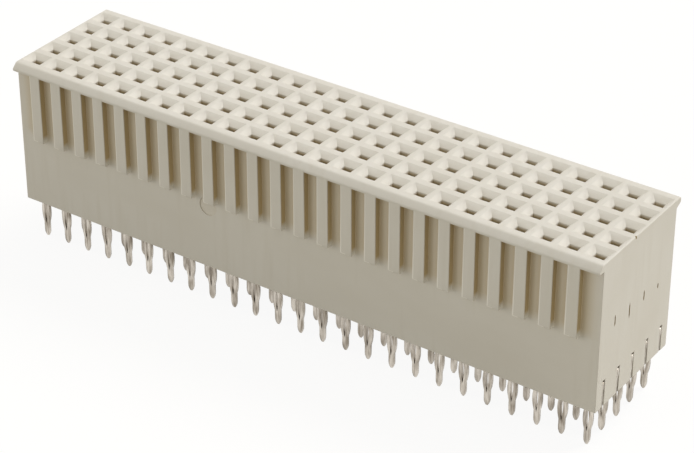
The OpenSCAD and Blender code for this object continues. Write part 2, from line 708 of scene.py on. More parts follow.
@dataclass(frozen=True)
class MouldedPlastic:
    """Ivory glass-filled plastic, matt, with a warmer painted shade between the ribs, a darker painted shade
    where it lies deeper and painted highlights.

    Attributes:
        ivory: Colour of the open faces.
        shade: Colour of the faint flow marks.
        rim: Colour of the painted highlight on the ribs' lit edges, on their sides' lower ends and at the pin
            holes' rims.
        warm_shade: Colour of the warmer painted shade between the ribs and under the lip.
        deep_shade: Colour of the darkest painted shade inside the contact cavities and down the pin holes.
        highlight_level: Value of the painted shading at which the painted highlight is full.
        warm_shade_level: Value of the painted shading at which the warmer painted shade is full.
        flow: The flow marks.
        lines: The faint upright flow lines.
        line_share: How far those go towards the flow marks' colour.
        grain: The fine grain.
        grain_depth: Its depth.
        grain_strength: How strongly it shows.
        roughness: Roughness of the grain's low and high places.
        gloss: Strength of the reflections.
    """

    ivory: Colour = tone(222, 217, 206)
    shade: Colour = tone(216, 210, 197)
    rim: Colour = tone(240, 235, 224)
    warm_shade: Colour = tone(196, 176, 136)
    deep_shade: Colour = tone(84, 66, 36)
    highlight_level: float = -0.5
    warm_shade_level: float = 0.5
    flow: Pattern = Pattern(5 * MM, 3.0, (2.5, 1.0, 1.0), (0.35, 0.75))
    lines: Pattern = Pattern(0.7 * MM, 2.0, (1.0, 1.0, 12.0), (0.35, 0.7))
    line_share: float = 0.8
    grain: Pattern = Pattern(0.12 * MM, 3.0)
    grain_depth: float = 0.006 * MM
    grain_strength: float = 0.6
    roughness: Pair = (0.48, 0.62)
    gloss: float = 0.35

    def build(self) -> bpy.types.Material:
        """Builds the material.

        Returns:
            The material.
        """
        palette = Palette("ivory_plastic")
        flow = palette.ranged(palette.noise(self.flow), self.flow.span)
        grain = palette.noise(self.grain)
        lines = palette.ranged(palette.noise(self.lines), self.lines.span, (0.0, self.line_share))
        open_face = palette.blend(palette.maths("MAXIMUM", flow, lines), self.ivory, self.shade)
        # The corner attribute read here paints light and shade: below 0 a painted highlight, then a warmer
        # painted shade, then the darkest painted shade inside.
        painted_shading = palette.add("ShaderNodeAttribute", {}, attribute_name="painted_shading").outputs["Fac"]
        highlighted = palette.blend(palette.ranged(painted_shading, (0.0, self.highlight_level)), open_face, self.rim)
        warm_shaded = palette.blend(palette.ranged(painted_shading, (0.0, self.warm_shade_level)), highlighted, self.warm_shade)
        inside = palette.ranged(painted_shading, (self.warm_shade_level, 1.0))
        palette.set("Base Color", palette.blend(inside, warm_shaded, self.deep_shade))
        palette.set("Roughness", palette.ranged(grain, self.grain.span, self.roughness))
        palette.set("Specular IOR Level", self.gloss)
        palette.bump(grain, self.grain_depth, self.grain_strength)
        return palette.material


@dataclass(frozen=True)
class PlatedContact:
    """Bright tin on the tail and gold on the gripping beams, over rolled copper alloy.

    Attributes:
        tin: Colour of the tin.
        dull_tin: Colour of its duller patches and streaks.
        gold: Colour of the gold.
        gold_rise: Heights at which the gold starts and from which it is full.
        patches: The duller patches.
        streaks: The duller streaks along the tail.
        dull_span: Sums of both at which the tin starts to be dull and is fully dull.
        grain: The rolling grain.
        grain_depth: Its depth.
        grain_strength: How strongly it shows.
        roughness: Roughness of the grain's low and high places.
    """

    tin: Colour = tone(212, 204, 192)
    dull_tin: Colour = tone(146, 136, 122)
    gold: Colour = tone(214, 170, 92)
    gold_rise: Pair = (2.3 * MM, 3.0 * MM)
    patches: Pattern = Pattern(0.6 * MM, stretch=(1.0, 1.0, 2.5))
    streaks: Pattern = Pattern(0.16 * MM, stretch=(1.0, 1.0, 8.0))
    dull_span: Pair = (0.8, 1.25)
    grain: Pattern = Pattern(0.06 * MM, stretch=(1.0, 1.0, 12.0))
    grain_depth: float = 0.003 * MM
    grain_strength: float = 0.5
    roughness: Pair = (0.26, 0.38)

    def build(self) -> bpy.types.Material:
        """Builds the material.

        Returns:
            The material.
        """
        palette = Palette("plated_contact")
        both = palette.maths("ADD", palette.noise(self.patches), palette.noise(self.streaks))
        grain = palette.noise(self.grain)
        height = palette.add("ShaderNodeSeparateXYZ", {0: palette.place}).outputs["Z"]
        tinned = palette.blend(palette.ranged(both, self.dull_span), self.tin, self.dull_tin)
        palette.set("Base Color", palette.blend(palette.ranged(height, self.gold_rise), tinned, self.gold))
        palette.set("Metallic", 1.0)
        palette.set("Roughness", palette.ranged(grain, self.grain.span, self.roughness))
        palette.bump(grain, self.grain_depth, self.grain_strength)
        return palette.material


@dataclass
class Housing:
    """The one-piece moulded housing.

    Attributes:
        layout: The contact grid.
        entry_y: How far the entries and cavities lie behind the tails.
        mouth: Length in X and width in Y of a funnel's mouth.
        funnel_depth: Depth of a funnel.
        hole: Length in X and width in Y of the pin hole.
        hole_fade: Depth in the pin hole over which its painted shade darkens.
        land: Thickness of the floor round the pin hole.
        cavity: Length in X and width in Y of the contact cavity.
        slot: Width of the slot that holds the contacts' shoulders.
        slot_height: Height of that slot.
        lip_height: Height of the lip.
        lip_slope: Width of the slope along the front lip's top edge.
        slope_radii: Radii of the slope's upper and lower edge.
        back_radius: Radius of the back lip's top edge.
        back_foot: How far the back lip's underside rises at its outer edge and drops at the long face.
        lip_tuck: Height over which the lip's nose is tucked in below, and the radius there.
        rib_width: Width of a rib.
        rib_proud: How far a rib stands out of the long face.
        rib_drop: Distance from the top to the ribs' lower ends.
        rounding: Radius of the edge between each two zones.
        right_radius: Radius of each rib's right front edge, which is crisper than the left and the lower one.
        rounding_segments: Number of flats in each rounded edge.
        painted_shading: How much painted shade each zone gets, from 0 in the open, through 0.5 between the
            ribs, to 1 inside.
        It is below 0 for a painted highlight where a rim stands in the light.
        rib_highlight: The same for the painted highlight on the ribs' rounded edges and lower ends, which
            stand in the light.
        hole_shading: The same for the painted highlight at the pin holes' rims and the painted shade where
            they have darkened.
        gap_fade: Height above the ribs' lower ends over which the painted shade on the gaps and the ribs'
            sides reaches its full strength.
        gap_reach: Distance from a rib over which the painted shade on a gap's floor fades out.
        wall_rise: How much more painted shade the ribs' sides get under the lip.
        ring_place: X and Z of the middle of the round moulding mark on the front.
        ring_radius: Its radius.
        ring_depth: Its depth.
        slits: Y, Z and height of each fine slit in an end face.
        slit_width: Their width.
        slit_depth: Their depth.
        slit_shading: How much painted shade they get.
        pip_y: Y of the small pit in an end face's top edge.
        pip_radius: Its radius.
        pip_depth: Its depth.
        mark_margin: How far a mark stays off the ribs, and how far its cut runs out of the face.
        arc_points: Number of points round the ring and the pits.
        arc_flat: Angle that each flat of a lip's rounded corner turns through.
        flat_angle: Angle under which two faces count as one flat.
        sharp_angle: Angle from which an unrounded edge is shaded as a crisp one.
        sideways: How far a face has to look to the right to be a rib's right side.
    """

    layout: Layout
    entry_y: float = 0.18 * MM
    mouth: Pair = (1.65 * MM, 1.47 * MM)
    funnel_depth: float = 0.35 * MM
    hole: Pair = (0.82 * MM, 0.52 * MM)
    hole_fade: float = 0.34 * MM
    land: float = 0.45 * MM
    cavity: Pair = (1.3 * MM, 0.86 * MM)
    slot: float = 0.32 * MM
    slot_height: float = 2.2 * MM
    lip_height: float = 0.6 * MM
    lip_slope: float = 0.42 * MM
    slope_radii: Pair = (0.3 * MM, 0.1 * MM)
    back_radius: float = 0.18 * MM
    back_foot: Pair = (0.16 * MM, 0.12 * MM)
    lip_tuck: Pair = (0.06 * MM, 0.1 * MM)
    rib_width: float = 1.0 * MM
    rib_proud: float = 0.52 * MM
    rib_drop: float = 6.15 * MM
    rounding: dict[frozenset[Zone], float] = field(default_factory=lambda: {
        frozenset({Zone.RIDGE, Zone.FUNNEL}): 0.03 * MM,
        frozenset({Zone.FUNNEL, Zone.HOLE}): 0.02 * MM,
        frozenset({Zone.RIB, Zone.RIB_SIDE}): 0.15 * MM,
        frozenset({Zone.RIB_SIDE}): 0.06 * MM,
        frozenset({Zone.RIB_SIDE, Zone.LONG_FACE}): 0.04 * MM,
        frozenset({Zone.RIB_SIDE, Zone.GAP}): 0.04 * MM,
        frozenset({Zone.UNDERSIDE, Zone.LONG_FACE}): 0.08 * MM,
        frozenset({Zone.END_FACE, Zone.RIDGE}): 0.06 * MM,
        frozenset({Zone.END_FACE, Zone.LIP}): 0.06 * MM,
        frozenset({Zone.END_FACE, Zone.LIP_UNDERSIDE}): 0.06 * MM,
        frozenset({Zone.END_FACE, Zone.LONG_FACE}): 0.06 * MM,
        frozenset({Zone.END_FACE, Zone.GAP}): 0.06 * MM,
        frozenset({Zone.END_FACE, Zone.UNDERSIDE}): 0.08 * MM,
        frozenset({Zone.END_FACE, Zone.SLOT}): 0.02 * MM,
    })
    right_radius: float = 0.05 * MM
    rounding_segments: int = 3
    # Painted shade of each zone; zones not listed get none.
    painted_shading: dict[Zone, float] = field(default_factory=lambda: {
        Zone.CAVITY: 1.0,
        Zone.LIP_UNDERSIDE: 0.4,
        Zone.RIB_SIDE: 0.5,
        Zone.GAP: 0.36,
        Zone.MARK: 0.05,
    })
    rib_highlight: float = -0.5
    hole_shading: Pair = (-0.12, 0.72)
    gap_fade: float = 0.7 * MM
    gap_reach: float = 1.2 * MM
    wall_rise: float = 0.1
    ring_place: Pair = (-7.4 * MM, 5.23 * MM)
    ring_radius: float = 0.77 * MM
    ring_depth: float = 0.07 * MM
    slits: tuple[Point, ...] = (
        (-3 * MM, 6.43 * MM, 1.0 * MM), (-1 * MM, 6.15 * MM, 1.35 * MM),
        (1 * MM, 6.28 * MM, 0.9 * MM), (3 * MM, 6.0 * MM, 0.45 * MM),
    )
    slit_width: float = 0.14 * MM
    slit_depth: float = 0.18 * MM
    slit_shading: float = 0.6
    pip_y: float = -0.77 * MM
    pip_radius: float = 0.09 * MM
    pip_depth: float = 0.2 * MM
    mark_margin: float = 0.05 * MM
    arc_points: int = 40
    arc_flat: float = math.radians(15)
    flat_angle: float = math.radians(5)
    sharp_angle: float = math.radians(20)
    sideways: float = 0.5

    @property
    def cavity_top(self) -> float:
        """Height of the cavities' ceiling."""
        return self.layout.top - self.funnel_depth - self.land

    @property
    def lip_bottom(self) -> float:
        """Height of the lip's underside."""
        return self.layout.top - self.lip_height

    @property
    def rib_end(self) -> float:
        """Height of the ribs' lower ends."""
        return self.layout.top - self.rib_drop

    @property
    def rib_front(self) -> float:
        """Distance from the middle to the ribs' front."""
        return self.layout.half_body + self.rib_proud

    def lip_foot(self, back: bool) -> Pair:
        """Heights of a lip's underside at its outer edge and at the long face."""
        rise, drop = self.back_foot if back else (0.0, 0.0)
        return (self.lip_bottom + rise, self.lip_bottom - drop)

    def level(self, size: Pair, z: float) -> Level:
        """Makes a level rectangle about an entry's axis.

        Args:
            size: Its length in X and width in Y.
            z: Its height.

        Returns:
            The rectangle.
        """
        length, width = size
        return (length / 2, self.entry_y - width / 2, self.entry_y + width / 2, z)

    def cell_tile(self) -> bpy.types.Mesh:
        """Models one cell about its tail's axis: funnel, pin hole, cavity and the slot under them.

        Returns:
            The tile, open at its four outer sides.
        """
        shell = Shell()
        half, top, ceiling = self.layout.pitch / 2, self.layout.top, self.cavity_top
        floor = top - self.funnel_depth
        shell.band((half, -half, half, top), self.level(self.mouth, top), Zone.RIDGE)
        shell.band(self.level(self.mouth, top), self.level(self.hole, floor), Zone.FUNNEL)
        # An extra level down the pin hole, where its painted shade reaches its darkest.
        fade = floor - self.hole_fade
        shell.band(self.level(self.hole, floor), self.level(self.hole, fade), Zone.HOLE)
        shell.band(self.level(self.hole, fade), self.level(self.hole, ceiling), Zone.HOLE)
        shell.band(self.level(self.hole, ceiling), self.level(self.cavity, ceiling), Zone.CAVITY)
        wall, front, back, _ = self.level(self.cavity, ceiling)
        slot, slot_top = self.slot / 2, self.slot_height
        notched = [
            (front, ceiling), (back, ceiling), (back, 0.0), (slot, 0.0),
            (slot, slot_top), (-slot, slot_top), (-slot, 0.0), (front, 0.0),
        ]
        for side, end in ((-1, front), (1, back)):
            shell.face(
                [(-wall, end, ceiling), (wall, end, ceiling), (wall, end, 0.0), (-wall, end, 0.0)],
                Zone.CAVITY,
            )
            shell.face([(side * wall, y, z) for y, z in notched], Zone.CAVITY)
            self.slot_faces(shell, side)
            edge = side * slot
            outline = [(-half, edge), (-wall, edge), (-wall, end), (wall, end), (wall, edge), (half, edge)]
            corners = [(half, side * half), (-half, side * half)]
            shell.face([(x, y, 0.0) for x, y in outline + corners], Zone.UNDERSIDE)
        return shell.finished("cell_tile")

    def slot_faces(self, shell: Shell, side: int) -> None:
        """Adds the slot's walls and ceiling between a cavity and the tile's outer side.

        Args:
            shell: The tile.
            side: -1 for the left and 1 for the right.
        """
        near, far, slot, ceiling = self.cavity[0] / 2, self.layout.pitch / 2, self.slot / 2, self.slot_height
        for edge in (-slot, slot):
            shell.face(
                [(side * near, edge, 0.0), (side * far, edge, 0.0),
                 (side * far, edge, ceiling), (side * near, edge, ceiling)],
                Zone.SLOT,
            )
        shell.face(
            [(side * near, -slot, ceiling), (side * far, -slot, ceiling),
             (side * far, slot, ceiling), (side * near, slot, ceiling)],
            Zone.SLOT,
        )

    def lip_outline(self, back: bool) -> list[Pair]:
        """Outlines a lip in Y and Z, from its flat top to its lower edge.

        Args:
            back: Whether it is the back lip, which is given turned half round.

        Returns:
            The outline's points.
        """
        nose, top = -self.layout.nose, self.layout.top
        tuck, tuck_radius = self.lip_tuck
        foot, _ = self.lip_foot(back)
        if back:
            edge, radii = [(nose, top)], (self.back_radius,)
        else:
            edge, radii = [(nose + self.lip_slope, top), (nose, top - self.lip_slope)], self.slope_radii
        corners = [
            (-self.layout.half_body, top), *edge,
            (nose, foot + tuck), (-self.rib_front, foot),
        ]
        return rounded(corners, (*radii, tuck_radius), self.arc_flat)[1:]

    def side_tile(self, side: Side, shell: Shell, start_x: float, flip: int) -> None:
        """Models one pitch of a long side, from the mating face down to the underside.

        Args:
            side: Which of its two half ribs the tile carries.
            shell: What the faces are added to.
            start_x: X of the tile's middle.
            flip: 1 for the front, and -1 for a tile that is turned half round to the back.
        """
        half = self.layout.pitch / 2
        gap = half - self.rib_width / 2
        stations = (-half, -gap, 0.0, gap, half)
        body, front = -self.layout.half_body, -self.rib_front

        def add(places: Iterable[Point], zone: Zone) -> None:
            """Adds one face, turned and moved to the tile's place."""
            shell.face([(start_x + flip * x, flip * y, z) for x, y, z in places], zone)

        outline = self.lip_outline(flip < 0)
        first_y, first_z = outline[0]
        add(
            [(-half, body, self.layout.top), (half, body, self.layout.top)]
            + [(x, first_y, first_z) for x in reversed(stations)],
            Zone.LIP,
        )
        for (upper_y, upper_z), (lower_y, lower_z) in pairwise(outline):
            for left, right in pairwise(stations):
                add(
                    [(left, upper_y, upper_z), (right, upper_y, upper_z),
                     (right, lower_y, lower_z), (left, lower_y, lower_z)],
                    Zone.LIP,
                )
        ribbed = (side.value[0], False, False, side.value[1])
        outer, inner = self.lip_foot(flip < 0)
        # An extra row of points at which the painted shade between the ribs reaches its full strength.
        fading, end = self.rib_end + self.gap_fade, self.rib_end
        for (left, right), rib in zip(pairwise(stations), ribbed):
            wall, top = (front, outer) if rib else (body, inner)
            for upper, lower in ((top, fading), (fading, end)):
                add(
                    [(left, wall, upper), (right, wall, upper), (right, wall, lower), (left, wall, lower)],
                    Zone.RIB if rib else Zone.GAP,
                )
            front_z, body_z = (end, end) if rib else (outer, inner)
            add(
                [(left, front, front_z), (right, front, front_z),
                 (right, body, body_z), (left, body, body_z)],
                Zone.RIB_SIDE if rib else Zone.LIP_UNDERSIDE,
            )
        for x, (left_rib, right_rib) in zip(stations[1:-1], pairwise(ribbed)):
            if left_rib != right_rib:
                for front_z, body_z, low in ((outer, inner, fading), (fading, fading, end)):
                    places = [(x, front, front_z), (x, front, low), (x, body, low), (x, body, body_z)]
                    add(places, Zone.RIB_SIDE)
        add(
            [(x, body, self.rib_end) for x in stations] + [(half, body, 0.0), (-half, body, 0.0)],
            Zone.LONG_FACE,
        )

    def end_outline(self) -> list[Pair]:
        """Outlines an end face, with the ends of the slots cut out of it.

        Returns:
            The outline's points in Y and Z.
        """
        layout, slot = self.layout, self.slot / 2
        front, turned = (
            [(-layout.half_body, layout.top), *self.lip_outline(back),
             (-layout.half_body, self.lip_foot(back)[1]), (-layout.half_body, self.rib_end + self.gap_fade),
             (-layout.half_body, self.rib_end)]
            for back in (False, True)
        )
        under = []
        for row in range(layout.rows):
            y = layout.row_y(row)
            under += [
                (y - layout.pitch / 2, 0.0), (y - slot, 0.0), (y - slot, self.slot_height),
                (y + slot, self.slot_height), (y + slot, 0.0),
            ]
        back = [(layout.half_body, 0.0)] + [(-y, z) for y, z in reversed(turned)]
        across = [(layout.row_y(row) - layout.pitch / 2, layout.top) for row in range(layout.rows - 1, 0, -1)]
        return front + under + back + across

    def assemble(self, tree: RepeatTree, material: bpy.types.Material) -> bpy.types.Object:
        """Repeats the tiles, closes the ends and joins everything into one closed mesh.

        Args:
            tree: The tree that repeats tiles.
            material: The finish.

        Returns:
            The housing's object.
        """
        layout = self.layout
        cells = show("cells", self.cell_tile())
        tree.apply(
            cells,
            Repeat(layout.columns, layout.rows, layout.pitch, layout.pitch),
            material,
        )
        parts = [cells]
        ends = Shell()
        for flip in (-1, 1):
            between = Shell()
            self.side_tile(Side.BETWEEN, between, 0.0, flip)
            sides = show("sides", between.finished("side_tile"))
            tree.apply(sides, Repeat(layout.columns - 2, pitch_x=layout.pitch), material)
            parts.append(sides)
            self.side_tile(Side.LEFT_END, ends, flip * layout.column_x(0), flip)
            self.side_tile(Side.RIGHT_END, ends, flip * layout.column_x(layout.columns - 1), flip)
            ends.face([(flip * layout.half_length, y, z) for y, z in self.end_outline()], Zone.END_FACE)
        parts.append(show("caps", ends.finished("caps")))
        whole = bmesh.new()
        for part in parts:
            whole.from_mesh(discard(part))
        bmesh.ops.remove_doubles(whole, verts=whole.verts, dist=MERGE_DISTANCE)
        bmesh.ops.recalc_face_normals(whole, faces=whole.faces)
        self.weigh_edges(whole)
        mesh = bpy.data.meshes.new("housing_shell")
        whole.to_mesh(mesh)
        whole.free()
        return show("moulded_housing", mesh)

    def weigh_edges(self, whole: bmesh.types.BMesh) -> None:
        """Writes each edge's rounding radius, as a share of the largest, and keeps the unrounded edges crisp.

        Args:
            whole: The housing.
        """
        zones = whole.faces.layers.int["zone"]
        weights = whole.edges.layers.float.new("bevel_weight_edge")
        largest = max(self.rounding.values())
        for edge in whole.edges:
            if len(edge.link_faces) != 2:
                continue
            angle = edge.calc_face_angle()
            pair = frozenset(Zone(face[zones]) for face in edge.link_faces)
            radius = self.rounding.get(pair, 0.0) if angle > self.flat_angle else 0.0
            leans = [self.to_right(face.normal, face.calc_center_median()) for face in edge.link_faces]
            if pair == {Zone.RIB, Zone.RIB_SIDE} and max(leans) > self.sideways:
                radius = self.right_radius
            edge[weights] = radius / largest
            edge.smooth = radius > 0 or angle < self.sharp_angle

    @staticmethod
    def to_right(normal: Vector, middle: Vector) -> float:
        """How far a long side's face looks to the right, for someone in front of that side."""
        return -math.copysign(normal.x, normal.x * middle.y)

    def ring_outline(self) -> list[Pair]:
        """Outlines the round mark, cut off beside and below the rib that crosses it.

        Returns:
            The outline's points in X and Z.
        """
        (x, z), radius, layout = self.ring_place, self.ring_radius, self.layout
        rib = (math.floor(x / layout.pitch + 0.5) + 0.5) * layout.pitch
        left, low = rib - self.rib_width / 2 - self.mark_margin, self.rib_end - self.mark_margin
        start, end = math.asin((low - z) / radius), math.acos((left - x) / radius) - 2 * math.pi
        turns = [start + (end - start) * step / self.arc_points for step in range(self.arc_points + 1)]
        return [(left, low)] + [(x + radius * math.cos(turn), z + radius * math.sin(turn)) for turn in turns]

    def slit_outline(self, y: float, z: float, height: float) -> list[Pair]:
        """Outlines one slit, pointed at both ends.

        Args:
            y: Y of its middle.
            z: Z of its middle.
            height: Its height.

        Returns:
            The outline's points in Y and Z.
        """
        wide, long = self.slit_width / 2, height / 2
        right = [(y, z - long), (y + wide, z - long / 2), (y + wide, z + long / 2)]
        left = [(y, z + long), (y - wide, z + long / 2), (y - wide, z - long / 2)]
        return right + left

    def pip_outline(self, x: float) -> list[Pair]:
        """Outlines the pit in an end face's top edge.

        Args:
            x: X of the end face.

        Returns:
            The outline's points in X and Y.
        """
        turns = [2 * math.pi * step / self.arc_points for step in range(self.arc_points)]
        radius = self.pip_radius
        return [(x + radius * math.cos(turn), self.pip_y + radius * math.sin(turn)) for turn in turns]

    def marks(self) -> bpy.types.Mesh:
        """Models what the shallow moulding marks take out of the housing.

        Returns:
            The mesh of closed prisms.
        """
        shell = Shell()
        layout, margin = self.layout, self.mark_margin
        outer, inner = -layout.half_body - margin, -layout.half_body + self.ring_depth
        ring = self.ring_outline()
        shell.prism([(x, outer, z) for x, z in ring], [(x, inner, z) for x, z in ring], Zone.MARK)
        above, below = layout.top + margin, layout.top - self.pip_depth
        for end in (-1, 1):
            outer, inner = (end * (layout.half_length + step) for step in (margin, -self.slit_depth))
            for y, z, height in self.slits:
                slit = self.slit_outline(y, z, height)
                shell.prism([(outer, u, v) for u, v in slit], [(inner, u, v) for u, v in slit], Zone.MARK)
            pip = self.pip_outline(end * layout.half_length)
            shell.prism([(x, y, above) for x, y in pip], [(x, y, below) for x, y in pip], Zone.MARK)
        return shell.finished("marks", closed=True)

    def sink_marks(self, piece: bpy.types.Object) -> None:
        """Cuts the marks out of the housing, keeps their edges crisp and reports edges that stay open.

        Args:
            piece: The housing.
        """
        cutter = show("marks", self.marks())
        combine(piece, cutter, "DIFFERENCE")
        settle(piece)
        discard(cutter)
        whole = bmesh.new()
        whole.from_mesh(piece.data)
        zones = whole.faces.layers.int["zone"]
        open_edges = 0
        for edge in whole.edges:
            if len(edge.link_faces) != 2:
                open_edges += 1
            elif Zone.MARK in [face[zones] for face in edge.link_faces]:
                edge.smooth = edge.calc_face_angle() < self.sharp_angle
        if open_edges:
            LOG.warning("the housing has %d open edges", open_edges)
        whole.to_mesh(piece.data)
        whole.free()

    def round_edges(self, piece: bpy.types.Object) -> None:
        """Rounds the weighed edges, sinks the marks and lets the flats keep their own shading.

        Args:
            piece: The housing.
        """
        smooth(piece)
        bevel = piece.modifiers.new("rounding", "BEVEL")
        bevel.limit_method = "WEIGHT"
        bevel.width = max(self.rounding.values())
        bevel.segments = self.rounding_segments
        bevel.use_clamp_overlap = False
        bevel.miter_outer = "MITER_SHARP"
        settle(piece)
        self.sink_marks(piece)
        smooth(piece)
        weigh_normals(piece)

    def from_rib(self, x: float) -> float:
        """Finds how far a place between the ribs is from the nearest rib's side.

        Args:
            x: X of the place.

        Returns:
            The distance.
        """
        layout = self.layout
        from_end = x + layout.half_length
        number = min(max(round(from_end / layout.pitch), 1), layout.columns - 1)
        return max(0.0, abs(from_end - number * layout.pitch) - self.rib_width / 2)

    def painted_shading_at(self, zone: Zone, place: Vector) -> float:
        """Tells how much painted shade or painted highlight a place gets.

        Args:
            zone: The zone of its face.
            place: The place.

        Returns:
            Its painted shading: below 0 for a painted highlight, 0 in the open and 1 for the darkest painted
                shade inside.
        """
        below, above = self.layout.top - place.z, place.z - self.rib_end
        rim, dark = self.hole_shading
        deepest = self.painted_shading.get(zone, 0.0)
        fade = max(0.0, min(1.0, above / self.gap_fade))
        # The slits in the end faces get a painted shade.
        if zone is Zone.MARK and abs(place.x) > self.layout.half_length - self.slit_depth - self.mark_margin:
            return self.slit_shading
        # The funnels get a painted highlight that grows towards the pin hole's rim.
        if zone is Zone.FUNNEL:
            return rim * min(1.0, below / self.funnel_depth)
        # The pin holes go from the painted highlight at the rim to a dark painted shade further down.
        if zone is Zone.HOLE:
            return rim + (dark - rim) * min(1.0, (below - self.funnel_depth) / self.hole_fade)
        # The ribs' sides get a painted highlight at their lower ends and a painted shade above, stronger
        # towards the lip.
        if zone is Zone.RIB_SIDE:
            inner = deepest + self.wall_rise * above / (self.lip_bottom - self.rib_end)
            return self.rib_highlight + (inner - self.rib_highlight) * fade
        # The gaps' floors get a painted shade beside the ribs, fading towards the middle and towards the
        # ribs' lower ends.
        if zone is Zone.GAP:
            return fade * deepest * max(0.0, 1 - self.from_rib(place.x) / self.gap_reach)
        return deepest

    @staticmethod
    def turned(normal: Vector) -> float:
        """Angle by which a normal is turned away from the nearest axis."""
        return math.acos(min(1.0, max(abs(value) for value in normal)))

    def paint_shading(self, mesh: bpy.types.Mesh) -> None:
        """Writes the painted shade and painted highlight of each face's corners, for the material.

        Args:
            mesh: The housing's mesh.
        """
        depths = mesh.attributes.new("painted_shading", "FLOAT", "CORNER")
        zones = mesh.attributes["zone"]
        places = [vertex.co for vertex in mesh.vertices]
        rim = self.rib_front - max(self.rounding.values())
        values = []
        for polygon in mesh.polygons:
            zone = Zone(zones.data[polygon.index].value)
            # On the ribs' fronts, the rounded edges that face left or down get a painted highlight and the
            # rest gets none.
            if zone in (Zone.RIB, Zone.RIB_SIDE) and abs(polygon.center.y) > rim:
                rounded_edge = self.turned(polygon.normal) > self.flat_angle
                lit = rounded_edge and self.to_right(polygon.normal, polygon.center) <= 0
                values += [self.rib_highlight if lit else 0.0] * len(polygon.vertices)
                continue
            values += [self.painted_shading_at(zone, places[vertex]) for vertex in polygon.vertices]
        depths.data.foreach_set("value", values)

    def build(self, tree: RepeatTree, finish: MouldedPlastic) -> bpy.types.Object:
        """Builds and dresses the housing.

        Args:
            tree: The tree that repeats tiles.
            finish: The plastic.

        Returns:
            The finished piece.
        """
        material = finish.build()
        piece = self.assemble(tree, material)
        self.round_edges(piece)
        self.paint_shading(piece.data)
        piece.data.materials.clear()
        piece.data.materials.append(material)
        piece.data.polygons.foreach_set("material_index", [0] * len(piece.data.polygons))
        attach(piece, ROOT_BODY)
        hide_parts(HOUSING_NODE)
        LOG.info("%s: %d faces", piece.name, len(piece.data.polygons))
        return piece


